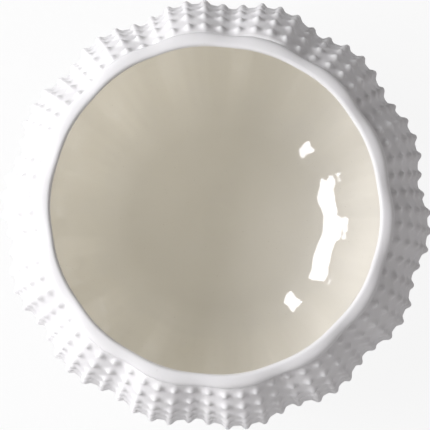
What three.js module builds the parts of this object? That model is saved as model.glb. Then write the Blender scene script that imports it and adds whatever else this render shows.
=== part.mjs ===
// A sea-urchin bowl for holding cut flowers: one slip-cast stoneware shell with 14 soft lobes and
// 70 meridian columns of small studs, a smooth rolled collar round the mouth, a gloss glaze lining
// fired onto the inside, and four self-adhesive felt pads under the foot ring.
//
// Frame: millimetres, +Z up, origin on the table under the centre of the foot. The pads stand on z = 0.
// The shell is built as rings of vertices, from the middle of the underside out round the foot, up the
// studded wall, over the collar and down the inside. A ring's points sit between the stud columns.

import * as THREE from "three";

// ---- driving dimensions, mm and degrees ---------------------------------------------------------
const LOBES = 14; // soft ribs round the wall
const COLUMNS = 70; // stud columns, five to a lobe
const LOBE_PEAK_DEG = 21.01; // azimuth of one lobe's crest, from +X towards +Y
const HEIGHT = 120; // table to the crest of the collar
const EQUATOR_R = 120.8; // mean radius of the wall at its widest
const EQUATOR_Z = 71;
const UPPER_SEMI_AXIS = 74.7; // vertical half axis of the wall above the equator
// the wall below the equator, radius and height, down to the foot
const LOWER_WALL = [
  [120.8, 71], [120.25, 64], [118.1, 56.4], [113.9, 47.8], [107.7, 39.2], [100.1, 31.1], [91.6, 23.8],
  [83.2, 17.7], [76, 13.1], [70.2, 9.6], [65.2, 6.8], [61.2, 4.75], [60.2, 4.2],
];
const LOBE_HEIGHT = 2.1; // half the crest-to-valley depth of the lobes
const LOBE_SHARPEN = 0.36; // second harmonic: broad crests, narrow valleys
const STUD_HEIGHT = 2.2;
const STUD_ROWS_UPPER = 7; // rows from the collar down to the equator
const STUD_ROWS_LOWER = 10; // rows from the equator down to the plain band above the foot
const STUD_BAND_TOP_R = 97.3; // wall radius where the studs start, under the collar
const STUD_BAND_LOW_R = 71; // wall radius where they stop, above the foot
const MOUTH_R = 91.1; // inner edge of the lip, its narrowest ring
const CREST_R = 93.8; // top of the collar
const COLLAR_R = 98.5; // outer edge of the collar, which stands a little proud of the wall below it
const LIP_DROP = 1.8; // from the crest down to the lip's narrowest ring, where the glaze starts
const FOOT_R = 59.5; // outer radius of the foot ring
const FOOT_INNER_R = 47;
const FOOT_Z = 1.7; // pad thickness and its adhesive film
const RECESS = 2.0; // underside recess inside the foot ring
const FLOOR_Z = 8.6; // glazed floor
const FLOOR_FLAT_R = 48;
const BOSS_R = 7; // low round boss in the middle of the floor
const BOSS_H = 0.8;
const LINING_R = 115.2; // visible inside radius at its widest
const LINING_Z = 73; // height of its widest ring
const LINING_UPPER = 71.5; // vertical half axis of the lining above it
// the lining below it: radius, height, share of the lobes
const LINING_LOWER = [
  [112.3, 60, 0.85], [108.5, 50.9, 0.85], [102.9, 41.9, 0.8], [96, 33.7, 0.72], [88, 26.3, 0.58], [80, 20.4, 0.44],
  [72.5, 15.8, 0.32], [65, 12, 0.22], [58.5, 9.6, 0.16],
];
const GLAZE_T = 0.6;
const GLAZE_GAP = 0.3;
const PAD_R = 5.5;
const PAD_T = 1.5;
const PAD_RING_R = 53.5;
const PAD_BEVEL = 0.3;

const rad = THREE.MathUtils.degToRad;

// Lobe shape at an azimuth: +1 scale, about LOBE_HEIGHT at a crest and minus a little more in a valley.
function lobe(theta) {
  const a = LOBES * (theta - rad(LOBE_PEAK_DEG));
  return LOBE_HEIGHT * Math.cos(a) - LOBE_SHARPEN * Math.cos(2 * a);
}
const smooth = (x, a, b) => {
  const t = Math.min(1, Math.max(0, (x - a) / (b - a)));
  return t * t * (3 - 2 * t);
};

// A profile point: radius, height, outward normal and the share of the lobe that it carries.
function point(r, z, nr, nz, share) {
  const l = Math.hypot(nr, nz) || 1;
  return { r, z, nr: nr / l, nz: nz / l, share };
}
// The wall's meridian as closely spaced stations, from the plain band over the foot up to the collar.
const lower = new THREE.SplineCurve(LOWER_WALL.map(([r, z]) => new THREE.Vector2(r, z)));
const stations = lower.getPoints(600).reverse();
for (let i = 1; i <= 400; i++) {
  const a = (rad(40) * i) / 400;
  stations.push(new THREE.Vector2(EQUATOR_R * Math.cos(a), EQUATOR_Z + UPPER_SEMI_AXIS * Math.sin(a)));
}
const wallShare = (r, above) => (above ? 1 : 0.1 + 0.9 * smooth(r, 62, 84));

// A point of the wall at a station, which may lie between two.
function wall(at) {
  const i = Math.max(1, Math.min(stations.length - 2, Math.floor(at)));
  const p = stations[i].clone().lerp(stations[i + 1], at - i);
  const d = stations[i + 1].clone().sub(stations[i - 1]);
  return point(p.x, p.y, d.y, -d.x, wallShare(p.x, p.y >= EQUATOR_Z));
}
// The station where the wall has a given radius.
function stationAt(r, above) {
  let best = 0;
  stations.forEach((p, i) => {
    if (p.y >= EQUATOR_Z === above && Math.abs(p.x - r) < Math.abs(stations[best].x - r)) best = i;
  });
  return best;
}
const equator = stations.findIndex((p) => p.y >= EQUATOR_Z);

// Stations that divide the wall between two of its stations into n steps, sized by the local column pitch.
function steps(a0, a1, n) {
  const weight = [0];
  for (let i = a0 + 1; i <= a1; i++) {
    const pitch = i > equator ? 1 : 0.52 + (0.48 * stations[i].x) / EQUATOR_R;
    weight.push(weight[weight.length - 1] + stations[i].distanceTo(stations[i - 1]) / pitch);
  }
  const sum = weight[weight.length - 1];
  const out = [];
  for (let k = 0; k <= n; k++) out.push(a0 + Math.max(0, weight.findIndex((w) => w >= (sum * k) / n - 1e-9)));
  return out;
}

const lowRings = steps(stationAt(STUD_BAND_LOW_R, false), equator, STUD_ROWS_LOWER); // up to the equator
const highRings = steps(equator, stationAt(STUD_BAND_TOP_R, true), STUD_ROWS_UPPER).slice(1);

// ---- ring geometry ------------------------------------------------------------------------------
// rings: profile points in order round the section; the first and last lie on the axis.
// studs: ring index -> the stud row that fills the band up to the next ring.
// A point with turned = true splits the faces that follow it along their other diagonal.
function ringSolid(rings, studs = new Map()) {
  const positions = [];
  const index = [];
  const starts = [];
  const ringTheta = (j) => rad(LOBE_PEAK_DEG + ((j + 0.5) * 360) / COLUMNS);
  const put = (r, z, theta) => {
    positions.push(r * Math.cos(theta), r * Math.sin(theta), z);
    return positions.length / 3 - 1;
  };
  for (const p of rings) {
    starts.push(positions.length / 3);
    if (p.r === 0) {
      put(0, p.z, 0);
      continue;
    }
    for (let j = 0; j < COLUMNS; j++) {
      const t = ringTheta(j);
      const d = p.share * lobe(t);
      put(p.r + d * p.nr, p.z + d * p.nz, t);
    }
  }
  for (let i = 0; i + 1 < rings.length; i++) {
    const a = starts[i];
    const b = starts[i + 1];
    for (let j = 0; j < COLUMNS; j++) {
      const k = (j + 1) % COLUMNS;
      if (rings[i].r === 0) index.push(a, b + k, b + j);
      else if (rings[i + 1].r === 0) index.push(a + j, a + k, b);
      else if (studs.has(i)) {
        const t = rad(LOBE_PEAK_DEG + ((j + 1) * 360) / COLUMNS);
        const m = studs.get(i);
        const d = m.share * lobe(t) + m.height;
        const tip = put(m.r + d * m.nr, m.z + d * m.nz, t);
        index.push(a + j, a + k, tip, a + k, b + k, tip, b + k, b + j, tip, b + j, a + j, tip);
      } else if (rings[i].turned) index.push(a + j, a + k, b + j, a + k, b + k, b + j);
      else index.push(a + j, a + k, b + k, a + j, b + k, b + j);
    }
  }
  const g = new THREE.BufferGeometry();
  g.setAttribute("position", new THREE.Float32BufferAttribute(positions, 3));
  g.setIndex(index);
  return g;
}

// ---- the inside surface that shows, from just under the lip down to the flat of the floor ---------
// (radius, height, normal away from the bowl's hollow, lobe share). Lobes push the lining outward.
function lining(offset) {
  const out = [];
  const add = (r, z, nr, nz, share) => {
    const p = point(r, z, nr, nz, share);
    out.push(point(p.r + offset * p.nr, p.z + offset * p.nz, nr, nz, share));
  };
  add(MOUTH_R + 0.05, HEIGHT - LIP_DROP - 0.4, 1, 0, 0.12);
  add(MOUTH_R + 0.5, HEIGHT - LIP_DROP - 2, 1, 0.25, 0.2);
  const top = Math.asin((HEIGHT - 7 - LINING_Z) / LINING_UPPER);
  for (const k of [1, 0.72, 0.4, 0]) {
    const a = top * k;
    const nr = Math.cos(a) * LINING_UPPER;
    const nz = Math.sin(a) * LINING_R;
    add(LINING_R * Math.cos(a), LINING_Z + LINING_UPPER * Math.sin(a), nr, nz, k === 1 ? 0.3 : 0.8);
  }
  const table = [[LINING_R, LINING_Z], ...LINING_LOWER, [FLOOR_FLAT_R, FLOOR_Z]];
  LINING_LOWER.forEach(([r, z, share], i) => {
    const [r0, z0] = table[i];
    const [r1, z1] = table[i + 2];
    add(r, z, z0 - z1, r1 - r0, share);
  });
  add(FLOOR_FLAT_R, FLOOR_Z, 0, -1, 0);
  return out;
}

// ---- clay body ------------------------------------------------------------------------------------
const body = [];
body.push(point(0, FOOT_Z + RECESS, 0, -1, 0));
body.push(point(FOOT_INNER_R - 4, FOOT_Z + RECESS, 0, -1, 0));
body.push(point(FOOT_INNER_R - 1, FOOT_Z + RECESS * 0.8, 0, -1, 0));
body.push(point(FOOT_INNER_R, FOOT_Z, 0, -1, 0));
body.push(point(FOOT_R - 0.8, FOOT_Z, 0, -1, 0));
body.push(point(FOOT_R, FOOT_Z + 0.8, 1, -1, 0));
body.push(point(FOOT_R + 0.2, FOOT_Z + 2.2, 1, -0.4, 0.05));
body.push(wall(stationAt(63, false)));
body.push(wall(stationAt(67, false)));
const studs = new Map();
const studRow = (a, b) => {
  const m = (a + b) / 2;
  const p = wall(m);
  // studs shrink with the pitch towards the foot, and a little under the collar
  p.height = STUD_HEIGHT * (p.z >= EQUATOR_Z ? 1 : 0.35 + (0.65 * p.r) / EQUATOR_R);
  studs.set(body.length - 1, p);
};
const bands = [...lowRings, ...highRings];
bands.forEach((a, i) => {
  body.push(wall(a));
  if (i + 1 < bands.length) studRow(a, bands[i + 1]);
});
body.push(point(COLLAR_R, HEIGHT - 3.6, 1, 0, 0.3));
body.push(point(COLLAR_R - 0.4, HEIGHT - 2.1, 1, 0, 0.26));
body.push(point(COLLAR_R - 2.3, HEIGHT - 0.6, 1, 0, 0.2));
body.push(point(CREST_R, HEIGHT, 1, 0, 0.12));
body.push(point(MOUTH_R + 0.6, HEIGHT - 0.6, 1, 0, 0.12));
body.push(point(MOUTH_R, HEIGHT - LIP_DROP, 1, 0, 0.12));
body.push(point(MOUTH_R + GLAZE_T + GLAZE_GAP + 0.05, HEIGHT - LIP_DROP, 1, 0, 0.12));
body.push(...lining(GLAZE_T + GLAZE_GAP));
body.push(point(0, FLOOR_Z - GLAZE_T - GLAZE_GAP, 0, 1, 0));

// ---- glaze lining ---------------------------------------------------------------------------------
// the underside runs outwards, so its faces are turned to match the clay beneath
const under = lining(GLAZE_T).reverse();
for (const p of under) p.turned = true;
const over = lining(0);
const glaze = [
  point(0, FLOOR_Z - GLAZE_T, 0, -1, 0),
  ...under,
  ...over,
  point(BOSS_R + 2, FLOOR_Z, 0, 1, 0),
  point(BOSS_R, FLOOR_Z + BOSS_H * 0.85, 0, 1, 0),
  point(0, FLOOR_Z + BOSS_H, 0, 1, 0),
];

// ---- felt pads --------------------------------------------------------------------------------------
function pad() {
  const s = [
    [0, 0],
    [PAD_R - PAD_BEVEL, 0],
    [PAD_R, PAD_BEVEL],
    [PAD_R, PAD_T - PAD_BEVEL],
    [PAD_R - PAD_BEVEL, PAD_T],
    [0, PAD_T],
  ].map(([x, y]) => new THREE.Vector2(x, y));
  const g = new THREE.LatheGeometry(s, 24);
  g.rotateX(Math.PI / 2); // the lathe's axis is Y; stand it on Z
  return g;
}

const clay = new THREE.MeshStandardMaterial({ color: 0xf2f0ef, roughness: 0.75, metalness: 0 });
const gloss = new THREE.MeshStandardMaterial({ color: 0xd9d3c6, roughness: 0.08, metalness: 0 });
const felt = new THREE.MeshStandardMaterial({ color: 0xcfcac2, roughness: 1, metalness: 0 });

const bowl = new THREE.Group();
const addMesh = (name, geometry, material, parent = bowl) => {
  const m = new THREE.Mesh(geometry, material);
  m.name = name;
  parent.add(m);
  return m;
};
addMesh("ceramic_shell", ringSolid(body, studs), clay);
addMesh("interior_glaze", ringSolid(glaze), gloss);
for (let i = 0; i < 4; i++) {
  const m = addMesh("felt_pad_" + (i + 1), pad(), felt);
  const t = rad(45 + 90 * i);
  m.position.set(PAD_RING_R * Math.cos(t), PAD_RING_R * Math.sin(t), 0);
}

export default bowl;
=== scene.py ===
import math

import bmesh
import bpy
import numpy as np
from mathutils import Matrix, Vector


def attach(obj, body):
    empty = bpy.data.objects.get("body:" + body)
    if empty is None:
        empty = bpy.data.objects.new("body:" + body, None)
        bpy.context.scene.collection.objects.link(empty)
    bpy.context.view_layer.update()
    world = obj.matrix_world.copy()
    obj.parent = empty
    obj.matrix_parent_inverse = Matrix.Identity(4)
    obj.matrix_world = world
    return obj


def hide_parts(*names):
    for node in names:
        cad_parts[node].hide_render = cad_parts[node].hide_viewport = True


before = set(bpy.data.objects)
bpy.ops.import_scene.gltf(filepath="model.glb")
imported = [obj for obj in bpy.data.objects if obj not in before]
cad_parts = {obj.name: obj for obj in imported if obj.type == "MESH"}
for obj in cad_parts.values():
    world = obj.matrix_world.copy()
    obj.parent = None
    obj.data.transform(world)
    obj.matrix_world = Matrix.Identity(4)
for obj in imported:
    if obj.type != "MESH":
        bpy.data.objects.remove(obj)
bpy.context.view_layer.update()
scene = bpy.context.scene

MM = 0.001
TAU = 2 * math.pi

# ------------------------------------------------------------------ sizes, mm (the CAD's, repeated)
LOBES = 14
COLUMNS = 70
PEAK = math.radians(21.01)
HEIGHT = 120.0
R_EQ, Z_EQ, C_UP = 120.8, 71.0, 74.7
LOBE_A, LOBE_B = 2.1, 0.36
MOUTH_R = 91.4
FOOT_R, FOOT_IN, FOOT_Z, RECESS = 59.5, 47.0, 1.7, 2.0
LIN_R, LIN_Z, LIN_UP = 115.2, 73.0, 71.5
FLOOR_Z = 8.6
PAD_R, PAD_T, PAD_RING = 5.5, 1.5, 53.5

rng = np.random.RandomState(20614)


def sstep(x, a, b):
    t = np.clip((np.asarray(x, float) - a) / (b - a), 0, 1)
    return t * t * (3 - 2 * t)


def fourier(orders, amp, seed):
    """A smooth periodic wobble of the azimuth."""
    r = np.random.RandomState(seed)
    c = [(k, amp * r.normal() / math.sqrt(len(orders)), r.uniform(0, TAU)) for k in orders]
    return lambda t: sum(a * np.cos(k * t + p) for k, a, p in c)


lobe_gain = fourier(range(1, 7), 0.05, 3)
lobe_turn = fourier(range(1, 8), 0.05, 4)


def series(terms):
    """Out-of-roundness of the hand-finished casting: (order, cosine, sine) in mm."""
    return lambda t: sum(c * np.cos(k * t) + s * np.sin(k * t) for k, c, s in terms)


round_off = series([(2, -0.26, 0.43), (3, -0.33, -0.20), (4, 0.28, -0.34), (5, 0.11, -0.06), (6, -0.10, -0.03), (7, -0.12, -0.08)])


def lobe(t):
    a = LOBES * (t - PEAK) + lobe_turn(t)
    return (LOBE_A * np.cos(a) - LOBE_B * np.cos(2 * a)) * (1 + lobe_gain(t))


# ------------------------------------------------------------------ the outer wall's meridian
def profile(points, n):
    """Catmull-Rom through rows of numbers, n samples a span."""
    p = np.array(points, float)
    p = np.vstack([2 * p[0] - p[1], p, 2 * p[-1] - p[-2]])
    out = []
    for i in range(1, len(p) - 2):
        for k in range(n):
            t = k / n
            a, b, c, d = p[i - 1], p[i], p[i + 1], p[i + 2]
            out.append(0.5 * (2 * b + (c - a) * t + (2 * a - 5 * b + 4 * c - d) * t * t + (3 * b - a - 3 * c + d) * t ** 3))
    out.append(p[-2])
    return np.array(out)


# from the crease under the collar down to the foot; the upper part is an ellipse
_up = [(R_EQ * math.cos(a), Z_EQ + C_UP * math.sin(a)) for a in np.radians(np.linspace(38.0, 2.0, 10))]
_low = [
    (R_EQ, Z_EQ - 0.3), (120.25, 64.0), (118.1, 56.4), (113.9, 47.8), (107.7, 39.2), (100.1, 31.1), (91.6, 23.8), (83.2, 17.7),
    (76.0, 13.1), (70.2, 9.6), (65.2, 6.8), (61.2, 4.75), (60.2, 4.2),
]
WALL = profile(_up + _low, 60)
WALL[:, 0] -= 1.15 * sstep(WALL[:, 0], 105.0, 119.5)  # the sides stand a little steeper near the widest part
_seg = np.hypot(*np.diff(WALL, axis=0).T)
WALL_S = np.concatenate([[0], np.cumsum(_seg)])  # runs downwards from the top
_d = np.gradient(WALL, WALL_S, axis=0)
WALL_N = np.stack([-_d[:, 1], _d[:, 0]], -1)
WALL_N /= np.linalg.norm(WALL_N, axis=1, keepdims=True)


def wall_base(s):
    """Point and outward normal of the mean wall at arc length s below the top of the profile."""
    f = lambda a: np.interp(s, WALL_S, a)
    return f(WALL[:, 0]), f(WALL[:, 1]), f(WALL_N[:, 0]), f(WALL_N[:, 1])


EQ_S = float(np.interp(-Z_EQ, -WALL[:, 1], WALL_S))
wall_r = lambda s: np.interp(s, WALL_S, WALL[:, 0])


def s_at_radius(r, above):
    m = (WALL_S < EQ_S) if above else (WALL_S >= EQ_S)
    q = WALL[m, 0]
    return float(np.interp(r, q if above else q[::-1], WALL_S[m] if above else WALL_S[m][::-1]))


# stud rows: radius of the tips over a lobe's crest, from the collar down to where they reach the outline
TOP_TIPS = (104.6, 111.3, 116.6, 120.0, 122.3)
H0 = 2.5
tips = []
for target in TOP_TIPS:
    q = np.linspace(0, EQ_S, 4000)
    r, z, nr, nz = wall_base(q)
    tips.append(float(q[np.abs(r + (LOBE_A - LOBE_B + H0) * nr - target).argmin()]))
pitch = 7.9
while True:
    r = float(wall_r(tips[-1]))
    step = pitch * (0.52 + 0.48 * r / R_EQ)
    if tips[-1] + step > s_at_radius(71.0, False):
        break
    tips.append(tips[-1] + step)
ROWS = len(tips)
tip_s = np.array(tips)
edge_s = np.concatenate([[s_at_radius(97.3, True)], (tip_s[1:] + tip_s[:-1]) / 2, [tip_s[-1] + (tip_s[-1] - tip_s[-2]) * 0.55]])

# sample places from a stud's tip to its cell's edge, as shares of the half cell
SPLIT = [0.0, 0.19, 0.38, 0.60]
SPLIT_LOW = [0.0, 0.30, 0.62]
ACROSS = [0.0, 0.13, 0.26, 0.40, 0.62]
U_OFF = [-1.0] + [-x for x in ACROSS[:0:-1]] + ACROSS
NU = len(U_OFF) * COLUMNS


def theta_grid():
    half = math.pi / COLUMNS
    return np.array([PEAK + TAU * j / COLUMNS + half * u for j in range(COLUMNS) for u in U_OFF])


THETA = theta_grid()

# stud tips, with the hand-made scatter of a carved master
tip_du = rng.normal(0, 0.22, (ROWS, COLUMNS))
tip_dv = rng.normal(0, 0.22, (ROWS, COLUMNS))
tip_h = 1 + rng.normal(0, 0.06, (ROWS, COLUMNS))
tip_w = 1 + rng.normal(0, 0.05, (ROWS, COLUMNS))
tip_r = wall_r(tip_s)
size = 0.35 + 0.65 * tip_r / R_EQ
STUD_H = H0 * size
STUD_W = 2.3 * size
STUD_H[0] *= 0.95
STUD_H[-1] *= 0.75
STUD_H[-2] *= 0.9


def stud_profile(d, w):
    """A rounded peg with a small soft skirt."""
    x = d / w
    return 0.93 * np.exp(-(x ** 2.8)) + 0.07 * np.exp(-((x / 1.7) ** 2))


def wall_points(s_nom, th_nom):
    """The studded wall over a grid of nominal arc positions (rows) and azimuths (columns)."""
    S, T = np.meshgrid(s_nom, th_nom, indexing="ij")
    col = np.rint((T - PEAK) / TAU * COLUMNS).astype(int)
    row = np.abs(S[..., None] - tip_s).argmin(-1)
    bump = np.zeros_like(S)
    dS = np.zeros_like(S)
    dT = np.zeros_like(S)
    R0 = wall_r(S)
    for i in (-1, 0, 1):
        k = row + i
        ok = (k >= 0) & (k < ROWS)
        kk = np.clip(k, 0, ROWS - 1)
        for j in (-1, 0, 1):
            c = (col + j) % COLUMNS
            du = (T - (PEAK + TAU * (col + j) / COLUMNS)) * R0
            dv = S - tip_s[kk]
            d = np.hypot(du, dv)
            f = stud_profile(d, STUD_W[kk] * tip_w[kk, c]) * ok
            bump += STUD_H[kk] * tip_h[kk, c] * f
            if i == 0 and j == 0:
                w = np.clip(1 - d / 4.6, 0, 1) ** 1.5
                dS += w * tip_dv[kk, c] * ok
                dT += w * tip_du[kk, c] / R0 * ok
    T2 = T + dT
    r, z, nr, nz = wall_base(S + dS)
    share = np.where(S + dS < EQ_S, 1.0, 0.1 + 0.9 * sstep(r, 62, 84))
    fade = sstep(r, 60, 90)
    swell = 0.16 * np.sin(3.1 * T2 + 0.06 * z) * np.sin(0.045 * z + 1.3) * fade
    d = share * lobe(T2) + bump + swell + round_off(T2) * fade
    return (r + d * nr), (z + d * nz), T2, bump


# ------------------------------------------------------------------ mesh helper
class Shell:
    """Rings of points joined into quads."""

    def __init__(self):
        self.v = []
        self.f = []
        self.attr = []

    def ring(self, r, z, t, a=0.0):
        r, z, t, a = np.broadcast_arrays(np.asarray(r, float), np.asarray(z, float), t, np.asarray(a, float))
        start = len(self.v)
        self.v.extend(np.stack([r * np.cos(t), r * np.sin(t), z], -1).tolist())
        self.attr.extend(a.tolist())
        return list(range(start, start + len(t)))

    def pole(self, z, a=0.0):
        self.v.append([0.0, 0.0, z])
        self.attr.append(a)
        return len(self.v) - 1

    def join(self, a, b):
        """Quads between two rings; the fine ring may have a whole multiple of the other's points."""
        if len(a) == len(b):
            n = len(a)
            self.f += [(a[i], a[(i + 1) % n], b[(i + 1) % n], b[i]) for i in range(n)]
            return
        flip = len(a) < len(b)
        fine, coarse = (b, a) if flip else (a, b)
        k = len(fine) // len(coarse)
        n = len(coarse)
        for i in range(n):
            c0, c1 = coarse[i], coarse[(i + 1) % n]
            fs = [fine[(i * k + m) % len(fine)] for m in range(k + 1)]
            mid = k // 2
            tris = [(fs[m], fs[m + 1], c0) for m in range(mid)] + [(fs[mid], c1, c0)]
            tris += [(fs[m], fs[m + 1], c1) for m in range(mid, k)]
            self.f += [tuple(reversed(x)) for x in tris] if flip else tris

    def cap(self, ring, p, closing=True):
        n = len(ring)
        for i in range(n):
            a, b = ring[i], ring[(i + 1) % n]
            self.f.append((a, b, p) if closing else (b, a, p))

    def build(self, name, attr=None):
        me = bpy.data.meshes.new(name)
        me.from_pydata((np.array(self.v) * MM).tolist(), [], self.f)
        me.update()
        if attr:
            at = me.attributes.new(attr, "FLOAT", "POINT")
            at.data.foreach_set("value", np.array(self.attr, np.float32))
        bm = bmesh.new()
        bm.from_mesh(me)
        bmesh.ops.recalc_face_normals(bm, faces=bm.faces)  # every face looks outwards
        bm.to_mesh(me)
        bm.free()
        for p in me.polygons:
            p.use_smooth = True
        o = bpy.data.objects.new(name, me)
        scene.collection.objects.link(o)
        return o


# ------------------------------------------------------------------ the clay shell
def clay_shell():
    m = Shell()
    th = THETA
    # underside, from the middle of the recess out round the foot ring, at a quarter of the columns' points
    coarse = th[::5]
    foot = [
        (20.0, FOOT_Z + RECESS), (38.0, FOOT_Z + RECESS), (43.5, FOOT_Z + RECESS - 0.05), (45.6, FOOT_Z + RECESS - 0.35),
        (46.5, FOOT_Z + 1.0), (46.9, FOOT_Z + 0.35), (47.5, FOOT_Z + 0.04), (48.4, FOOT_Z), (53.0, FOOT_Z), (57.9, FOOT_Z),
        (58.8, FOOT_Z + 0.1), (59.35, FOOT_Z + 0.5), (59.6, FOOT_Z + 1.1), (59.9, FOOT_Z + 1.75),
    ]
    centre = m.pole(FOOT_Z + RECESS)
    last = None
    for r, z in foot:
        now = m.ring(r, z, coarse)
        if last is None:
            m.cap(now, centre)
        else:
            m.join(now, last)
        last = now
    # the plain band over the foot, then the studded wall up to the collar
    low_s = np.linspace(s_at_radius(60.9, False), edge_s[-1], 8)[:-1]
    s_list = list(low_s)
    for k in range(ROWS - 1, -1, -1):
        up, down = edge_s[k], edge_s[k + 1]
        t = tip_s[k]
        split = SPLIT if k < 10 else SPLIT_LOW
        s_list += [t + (down - t) * x for x in [1.0] + split[:0:-1]]
        s_list += [t + (up - t) * x for x in split]
    s_list.append(edge_s[0])
    r, z, t, b = wall_points(np.array(s_list), th)
    for i in range(len(s_list)):
        now = m.ring(r[i], z[i], t[i], b[i])
        m.join(now, last)
        last = now
    # the collar: (radius, height, lobe share, direction of the lobe's push in degrees above level)
    half = th[::2]
    L = lobe(half)
    rim = [
        (97.2, 114.7, 0.85, 30), (97.9, 114.8, 0.66, 12), (98.5, 115.3, 0.52, 8), (98.72, 116.0, 0.47, 12),
        (98.74, 116.8, 0.45, 25), (98.5, 117.6, 0.42, 40), (97.95, 118.35, 0.38, 55), (97.1, 118.95, 0.33, 65),
        (96.0, 119.45, 0.27, 72), (94.9, 119.74, 0.21, 80), (93.9, 119.95, 0.15, 85), (93.1, 119.95, 0.12, 80),
        (92.45, 119.72, 0.1, 60), (91.95, 119.32, 0.1, 30), (91.6, 118.78, 0.1, 0), (91.42, 118.15, 0.1, 0),
        (91.42, 117.4, 0.1, 0), (91.6, 116.4, 0.12, 0),
    ]
    wob_z = fourier(range(1, 5), 0.2, 11)(half)
    wob_r = series([(1, 0.05, 0.0), (2, 0.09, -0.37), (3, 0.12, 0.0), (4, -0.14, 0.03), (5, -0.07, -0.21), (6, 0.04, -0.12)])(half)
    for rr, zz, sh, ang in rim:
        a = math.radians(ang)
        k = float(sstep(zz, 115, 118.5)) if rr > 92 else 1.0
        now = m.ring(rr - 0.33 * float(sstep(-rr, -97, -94)) + sh * L * math.cos(a) + wob_r * (0.4 + 0.6 * k), zz + sh * L * math.sin(a) + wob_z * k, half)
        m.join(now, last)
        last = now
    # the hidden face under the glaze, back down to the floor
    coarse = half[::2]
    Lc = lobe(coarse)
    P = lining_profile()
    keep = [i for i in range(4, len(P)) if (i - 4) % 6 == 0 and P[i, 0] > 40]
    for i in keep:
        rr, zz, sh, nr, nz = P[i]
        d = sh * Lc + 0.9
        now = m.ring(rr + d * nr + (wob_r[::2] - 0.33) * float(sstep(zz, 106, 116)), zz + d * nz, coarse)
        m.join(now, last)
        last = now
    now = m.ring(40.0, FLOOR_Z - 0.9, coarse)
    m.join(now, last)
    last = now
    m.cap(last, m.pole(FLOOR_Z - 0.9))
    return m.build("urchin_clay_shell", "stud")


# ------------------------------------------------------------------ the glaze lining
def lining_profile():
    """(r, z, lobe share, normal r, normal z) down the inside, normals away from the hollow."""
    head = [(91.3, 118.0, 0.1), (91.42, 117.2, 0.1), (91.75, 116.1, 0.14), (92.9, 114.6, 0.22)]
    top = math.asin((HEIGHT - 7.4 - LIN_Z) / LIN_UP)
    wall = [(LIN_R * math.cos(a), LIN_Z + LIN_UP * math.sin(a), 0.3 + 0.5 * float(sstep(-a, -top, -top * 0.6))) for a in np.linspace(top, 0.1, 7)]
    low = [
        (LIN_R, LIN_Z - 0.5, 0.85), (114.5, 68.3, 0.85), (112.3, 60.0, 0.85), (108.5, 50.9, 0.85), (102.9, 41.9, 0.8), (96.0, 33.7, 0.72),
        (88.0, 26.3, 0.58), (80.0, 20.4, 0.44), (72.5, 15.8, 0.32), (67.0, 12.95, 0.25), (62.5, 10.95, 0.2), (58.5, 9.6, 0.16),
        (54.0, 8.8, 0.11), (48.0, 8.6, 0.06), (40.0, 8.6, 0.03), (30.0, 8.6, 0.0), (20.0, 8.6, 0.0), (12.0, 8.6, 0.0),
    ]
    boss = [(10.4, 8.61, 0), (9.4, 8.68, 0), (8.4, 8.82, 0), (7.4, 8.97, 0), (6.2, 9.08, 0), (4.5, 9.14, 0), (2.0, 9.16, 0)]
    p = np.vstack([profile(head + wall + low, 4)[:-1], np.array([low[-1]] + boss, float)])
    d = np.gradient(p[:, :2], axis=0)
    n = np.stack([-d[:, 1], d[:, 0]], -1)
    n /= np.maximum(np.linalg.norm(n, axis=1, keepdims=True), 1e-9)
    return np.hstack([p, n])


def dimples(r, z, th):
    """Shallow hollows that the studs outside leave in the lining, as a push away from the hollow."""
    out = np.zeros(np.broadcast(r, th).shape)
    tr, tz, nr, nz = wall_base(tip_s)
    tr, tz = tr - 5.4 * nr, tz - 5.4 * nz
    col = np.rint((th - PEAK) / TAU * COLUMNS)
    for k in range(ROWS):
        for j in (-1, 0, 1):
            du = (th - (PEAK + TAU * (col + j) / COLUMNS)) * r
            dv = np.hypot(r - tr[k], z - tz[k])
            out += 0.28 * np.exp(-(du * du + dv * dv) / (2 * 2.1 ** 2)) * tip_h[k, ((col + j) % COLUMNS).astype(int)] ** 3
    return out


def glaze():
    m = Shell()
    nt = 560
    th = PEAK + np.arange(nt) * TAU / nt
    L = lobe(th)
    P = lining_profile()
    mouth = series([(1, 0.05, 0.0), (2, 0.09, -0.37), (3, 0.12, 0.0), (4, -0.14, 0.03), (5, -0.07, -0.21), (6, 0.04, -0.12)])
    last = None
    for i, (r, z, s, nr, nz) in enumerate(P):
        f = float(sstep(r, 25, 75))
        soft = (0.10 * np.sin(5 * th + 0.11 * z + 0.7) + 0.07 * np.sin(9 * th - 0.07 * z)) * f
        d = s * L + soft + (dimples(r, z, th) if r > 55 else 0)
        e = (mouth(th) - 0.33) * float(sstep(z, 106, 116))
        now = m.ring(r + d * nr + e, z + d * nz, th)
        if last is None:
            first = now
        else:
            m.join(last, now)
        last = now
    m.cap(last, m.pole(FLOOR_Z + 0.57))
    # the face against the clay
    tc = th[::4]
    Lc = lobe(tc)
    last = first
    for i in [i for i in range(2, len(P)) if (i - 2) % 4 == 0 and P[i, 0] > 14]:
        r, z, s, nr, nz = P[i]
        f = float(sstep(r, 25, 75))
        soft = (0.10 * np.sin(5 * tc + 0.11 * z + 0.7) + 0.07 * np.sin(9 * tc - 0.07 * z)) * f
        d = s * Lc + soft + (0.3 if i < 6 else 0.6)
        e = (mouth(tc) - 0.33) * float(sstep(z, 106, 116))
        now = m.ring(r + d * nr + e, z + d * nz, tc)
        m.join(now, last)
        last = now
    m.cap(last, m.pole(FLOOR_Z - 0.6), closing=False)
    return m.build("interior_glaze_coat")


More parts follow.
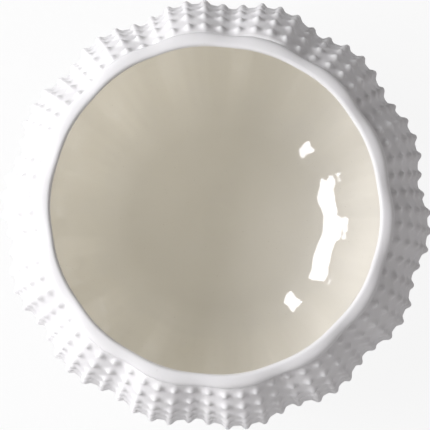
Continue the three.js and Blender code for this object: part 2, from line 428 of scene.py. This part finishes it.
# ------------------------------------------------------------------ felt pads
def felt_pad(i, seed):
    r = np.random.RandomState(seed)
    m = Shell()
    n = 96
    th = np.arange(n) * TAU / n
    wob = fourier(range(2, 9), 0.05, seed)(th)
    prof = [(0.35, 0.0), (0.62, 0.0), (0.85, 0.0), (0.955, 0.02), (0.99, 0.12), (1.0, 0.3), (1.0, 0.5), (1.0, 0.72), (0.992, 0.9), (0.965, 0.98), (0.86, 1.0), (0.5, 1.0)]
    bottom = m.pole(0.02)
    last = None
    for q, h in prof:
        jit = r.normal(0, 0.035, n) * (1 if q > 0.9 else 0.3)
        zz = h * (PAD_T + 0.1) + r.normal(0, 0.02, n) * (1 if 0 < h < 1 else 0.6)
        now = m.ring(q * PAD_R + (wob if q > 0.8 else 0) + jit, np.clip(zz, 0.0, None), th)
        if last is None:
            m.cap(now, bottom, closing=False)
        else:
            m.join(now, last)
        last = now
    m.cap(last, m.pole(PAD_T + 0.1))
    o = m.build("felt_disc_%d" % i)
    a = math.radians(45 + 90 * (i - 1))
    o.data.transform(Matrix.Translation((PAD_RING * MM * math.cos(a), PAD_RING * MM * math.sin(a), 0)))
    return o


# ------------------------------------------------------------------ materials
def new_material(name):
    mat = bpy.data.materials.new(name)
    mat.use_nodes = True
    nt = mat.node_tree
    nt.nodes.clear()
    out = nt.nodes.new("ShaderNodeOutputMaterial")
    bsdf = nt.nodes.new("ShaderNodeBsdfPrincipled")
    nt.links.new(bsdf.outputs[0], out.inputs[0])
    return mat, nt, bsdf


def node(nt, kind, **kw):
    n = nt.nodes.new(kind)
    for k, v in kw.items():
        if k in ("operation", "blend_type", "data_type", "noise_dimensions", "feature", "attribute_name", "interpolation_type", "clamp"):
            setattr(n, k, v)
        else:
            n.inputs[k].default_value = v
    return n


def noise(nt, coord, scale, detail=3.0, rough=0.5, distortion=0.0):
    n = nt.nodes.new("ShaderNodeTexNoise")
    n.inputs["Scale"].default_value = scale
    n.inputs["Detail"].default_value = detail
    n.inputs["Roughness"].default_value = rough
    n.inputs["Distortion"].default_value = distortion
    nt.links.new(coord, n.inputs["Vector"])
    return n.outputs["Fac"]


def ramp(nt, fac, stops):
    n = nt.nodes.new("ShaderNodeValToRGB")
    el = n.color_ramp.elements
    while len(el) > 1:
        el.remove(el[-1])
    el[0].position, el[0].color = stops[0][0], (*stops[0][1], 1)
    for p, c in stops[1:]:
        e = el.new(p)
        e.color = (*c, 1)
    nt.links.new(fac, n.inputs[0])
    return n.outputs[0]


def remap(nt, fac, a, b, c, d):
    n = nt.nodes.new("ShaderNodeMapRange")
    n.inputs[1].default_value, n.inputs[2].default_value = a, b
    n.inputs[3].default_value, n.inputs[4].default_value = c, d
    nt.links.new(fac, n.inputs[0])
    return n.outputs[0]


def mix(nt, fac, a, b, kind="MIX"):
    n = nt.nodes.new("ShaderNodeMix")
    n.data_type = "RGBA"
    n.blend_type = kind
    for sock, val in ((n.inputs[0], fac), (n.inputs[6], a), (n.inputs[7], b)):
        if isinstance(val, (int, float)):
            sock.default_value = val
        elif isinstance(val, tuple):
            sock.default_value = (*val, 1)
        else:
            nt.links.new(val, sock)
    return n.outputs[2]


def bump(nt, height, strength, distance, normal=None):
    n = nt.nodes.new("ShaderNodeBump")
    n.inputs["Strength"].default_value = strength
    n.inputs["Distance"].default_value = distance
    nt.links.new(height, n.inputs["Height"])
    if normal is not None:
        nt.links.new(normal, n.inputs["Normal"])
    return n.outputs[0]


def clay_material():
    mat, nt, b = new_material("matte_cast_clay")
    co = nt.nodes.new("ShaderNodeTexCoord").outputs["Object"]
    sep = nt.nodes.new("ShaderNodeSeparateXYZ")
    nt.links.new(co, sep.inputs[0])
    large = noise(nt, co, 22.0, 3.0, 0.55)
    mid = noise(nt, co, 140.0, 4.0, 0.6)
    fine = noise(nt, co, 1500.0, 3.0, 0.6)
    speck = noise(nt, co, 620.0, 2.0, 0.5)
    base = ramp(nt, large, [(0.3, (0.820, 0.810, 0.816)), (0.7, (0.860, 0.852, 0.858))])
    base = mix(nt, remap(nt, mid, 0.35, 0.65, 0.0, 0.5), base, (0.83, 0.825, 0.815))
    base = mix(nt, remap(nt, speck, 0.70, 0.76, 0.0, 0.35), base, (0.70, 0.68, 0.66))
    # stud tips painted a little lighter and free of specks: a painted highlight on the peg tops
    at = nt.nodes.new("ShaderNodeAttribute")
    at.attribute_name = "stud"
    tip = remap(nt, at.outputs["Fac"], 2.0, 2.9, 0.0, 1.0)
    base = mix(nt, tip, base, (0.86, 0.857, 0.853))
    # bare fired clay on the foot ring
    foot = remap(nt, sep.outputs["Z"], 0.0024, 0.0040, 1.0, 0.0)
    base = mix(nt, foot, base, (0.72, 0.69, 0.64))
    nt.links.new(base, b.inputs["Base Color"])
    rough = remap(nt, mid, 0.3, 0.7, 0.50, 0.62)
    nt.links.new(rough, b.inputs["Roughness"])
    b.inputs["IOR"].default_value = 1.45
    b.inputs["Specular IOR Level"].default_value = 0.35
    n1 = bump(nt, fine, 0.12, 0.0002)
    n2 = bump(nt, mid, 0.10, 0.0008, n1)
    nt.links.new(n2, b.inputs["Normal"])
    return mat


def glaze_material():
    mat, nt, b = new_material("gloss_greige_glaze")
    co = nt.nodes.new("ShaderNodeTexCoord").outputs["Object"]
    large = noise(nt, co, 14.0, 3.0, 0.5, 0.4)
    mid = noise(nt, co, 60.0, 3.0, 0.55)
    speck = noise(nt, co, 900.0, 1.0, 0.5)
    base = ramp(nt, large, [(0.3, (0.815, 0.792, 0.722)), (0.7, (0.855, 0.836, 0.772))])
    base = mix(nt, remap(nt, mid, 0.4, 0.7, 0.0, 0.25), base, (0.84, 0.82, 0.77))
    base = mix(nt, remap(nt, speck, 0.74, 0.80, 0.0, 0.25), base, (0.45, 0.40, 0.33))
    nt.links.new(base, b.inputs["Base Color"])
    b.inputs["Roughness"].default_value = 0.07
    b.inputs["IOR"].default_value = 1.52
    b.inputs["Coat Weight"].default_value = 0.6
    b.inputs["Coat Roughness"].default_value = 0.03
    b.inputs["Coat IOR"].default_value = 1.5
    ripple = noise(nt, co, 45.0, 2.0, 0.5)
    nt.links.new(bump(nt, ripple, 0.12, 0.002), b.inputs["Normal"])
    return mat


def felt_material():
    mat, nt, b = new_material("pressed_felt")
    co = nt.nodes.new("ShaderNodeTexCoord").outputs["Object"]
    fibre = noise(nt, co, 900.0, 6.0, 0.75, 1.5)
    cloud = noise(nt, co, 260.0, 3.0, 0.6)
    base = ramp(nt, fibre, [(0.3, (0.36, 0.35, 0.33)), (0.7, (0.58, 0.565, 0.54))])
    base = mix(nt, remap(nt, cloud, 0.3, 0.7, 0.0, 0.3), base, (0.50, 0.485, 0.46))
    nt.links.new(base, b.inputs["Base Color"])
    b.inputs["Roughness"].default_value = 0.95
    b.inputs["Sheen Weight"].default_value = 0.4
    b.inputs["Sheen Roughness"].default_value = 0.5
    nt.links.new(bump(nt, fibre, 0.6, 0.0004), b.inputs["Normal"])
    return mat


def assign(o, mat):
    o.data.materials.clear()
    o.data.materials.append(mat)


clay, gloss, felt = clay_material(), glaze_material(), felt_material()

shell = clay_shell()
assign(shell, clay)
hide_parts("ceramic_shell")
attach(shell, "root")

coat = glaze()
assign(coat, gloss)
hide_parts("interior_glaze")
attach(coat, "root")

for i in range(1, 5):
    disc = felt_pad(i, 40 + i)
    assign(disc, felt)
    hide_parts("felt_pad_%d" % i)
    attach(disc, "root")

for name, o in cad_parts.items():
    assign(o, {"c": clay, "i": gloss, "f": felt}[name[0]])

# ------------------------------------------------------------------ floor, world and lights
fm, fnt, fb = new_material("pale_floor")
fb.inputs["Roughness"].default_value = 0.9
fb.inputs["Specular IOR Level"].default_value = 0.1
fco = fnt.nodes.new("ShaderNodeTexCoord").outputs["Object"]
fnt.links.new(ramp(fnt, noise(fnt, fco, 3.0), [(0.3, (0.79, 0.79, 0.79)), (0.7, (0.81, 0.81, 0.81))]), fb.inputs["Base Color"])
# a high-key sweep: seen directly it is nearly white with a soft shadow, and it lights the bowl as plain paper would
glow = fnt.nodes.new("ShaderNodeEmission")
glow.inputs["Color"].default_value = (1, 1, 1, 1)
glow.inputs["Strength"].default_value = 1.0
share = fnt.nodes.new("ShaderNodeMixShader")
path = fnt.nodes.new("ShaderNodeLightPath")
fnt.links.new(remap(fnt, path.outputs["Is Camera Ray"], 0, 1, 0, 0.9), share.inputs[0])
fnt.links.new(fb.outputs[0], share.inputs[1])
fnt.links.new(glow.outputs[0], share.inputs[2])
fnt.links.new(share.outputs[0], [n for n in fnt.nodes if n.type == "OUTPUT_MATERIAL"][0].inputs[0])
bpy.ops.mesh.primitive_circle_add(vertices=96, radius=5.0, fill_type="NGON", location=(0, 0, 0))
floor = bpy.context.object
floor.name = "studio_floor"
assign(floor, fm)

world = bpy.data.worlds.new("studio")
scene.world = world
world.use_nodes = True
wn = world.node_tree
wn.nodes.clear()
wo = wn.nodes.new("ShaderNodeOutputWorld")
room = wn.nodes.new("ShaderNodeBackground")
paper = wn.nodes.new("ShaderNodeBackground")
paper.inputs["Color"].default_value = (1, 1, 1, 1)
paper.inputs["Strength"].default_value = 0.96
wsep = wn.nodes.new("ShaderNodeSeparateXYZ")
wn.links.new(wn.nodes.new("ShaderNodeTexCoord").outputs["Generated"], wsep.inputs[0])
wn.links.new(ramp(wn, wsep.outputs["Z"], [(0.0, (0.30, 0.288, 0.298)), (0.35, (0.26, 0.25, 0.258)), (0.62, (0.195, 0.19, 0.185)), (1.0, (0.15, 0.147, 0.141))]), room.inputs["Color"])
room.inputs["Strength"].default_value = 1.0
wmix = wn.nodes.new("ShaderNodeMixShader")
wn.links.new(wn.nodes.new("ShaderNodeLightPath").outputs["Is Camera Ray"], wmix.inputs[0])
wn.links.new(room.outputs[0], wmix.inputs[1])
wn.links.new(paper.outputs[0], wmix.inputs[2])
wn.links.new(wmix.outputs[0], wo.inputs[0])


def area(name, azimuth, elevation, distance, width, height, power, colour=(1, 1, 1)):
    """A softbox on azimuth (degrees from +X towards +Y) and elevation, facing the bowl."""
    light = bpy.data.lights.new(name, "AREA")
    light.shape = "RECTANGLE"
    light.size, light.size_y = width, height
    light.energy = power
    light.color = colour
    o = bpy.data.objects.new(name, light)
    scene.collection.objects.link(o)
    a, e = math.radians(azimuth), math.radians(elevation)
    aim = Vector((0, 0, 0.07))
    o.location = aim + distance * Vector((math.cos(a) * math.cos(e), math.sin(a) * math.cos(e), math.sin(e)))
    o.rotation_euler = (aim - o.location).to_track_quat("-Z", "Y").to_euler()
    return o


key = area("key", 171, 39, 1.7, 1.4, 0.58, 30.5, (0.99, 0.99, 1.015))
low = area("low_reflector", -20, 10, 1.6, 1.2, 0.6, 2.8, (1, 0.97, 0.99))


def only_on(name, lights, pieces, shiny=False):
    """Lights that reach only some pieces; the soft fills leave no reflection of themselves."""
    group = bpy.data.collections.new(name)
    for piece in pieces:
        group.objects.link(piece)
    for light in lights:
        light.light_linking.receiver_collection = group
        light.visible_glossy = shiny


only_on("all_but_the_inside", [key], [o for o in bpy.data.objects if o.type == "MESH" and o != coat], True)
only_on("inside_key", [area("key_inside", 170, 39, 1.7, 1.4, 0.58, 23.5, (1.0, 0.985, 1.02))], [coat], True)
only_on("inside_of_the_bowl", [
    area("inside_fill", -12, 52, 1.7, 1.3, 1.3, 9.2, (1.0, 0.945, 0.86)),
    area("inside_fill_top", 95, 42, 1.7, 1.3, 0.9, 4.1, (1.0, 0.945, 0.865)),
    area("inside_fill_bottom", -85, 42, 1.7, 1.3, 0.9, 6.4, (1.0, 0.945, 0.865)),
], [coat])
only_on("outside_of_the_bowl", [area("outside_wing", 222, 42, 1.7, 1.6, 0.9, 5.5, (1.0, 0.985, 1.0))], [shell])

# ------------------------------------------------------------------ camera
view_dir = Vector((0.0187, -0.0545, 1.0)).normalized()  # about 3.3 degrees off straight down
PX = 0.577 * MM  # at the widest ring
DIST = 1.25
cam_data = bpy.data.cameras.new("camera")
cam_data.sensor_width = 36.0
cam_data.lens = 18.0 / (215 * PX / DIST)
cam_data.dof.use_dof = False
cam_data.clip_start = 0.05
cam_data.clip_end = 50
cam = bpy.data.objects.new("camera", cam_data)
scene.collection.objects.link(cam)
aim = Vector((-1.37 * PX, -0.4 * PX, 0.066))
cam.location = aim + DIST * view_dir
back = view_dir
up = Vector((0, 1, 0))
right = up.cross(back).normalized()
up = back.cross(right).normalized()
cam.matrix_world = Matrix(((right.x, up.x, back.x, cam.location.x), (right.y, up.y, back.y, cam.location.y), (right.z, up.z, back.z, cam.location.z), (0, 0, 0, 1)))
scene.camera = cam

scene.view_settings.view_transform = "Standard"
scene.view_settings.look = "None"
scene.view_settings.exposure = 0.0
scene.view_settings.gamma = 1.0
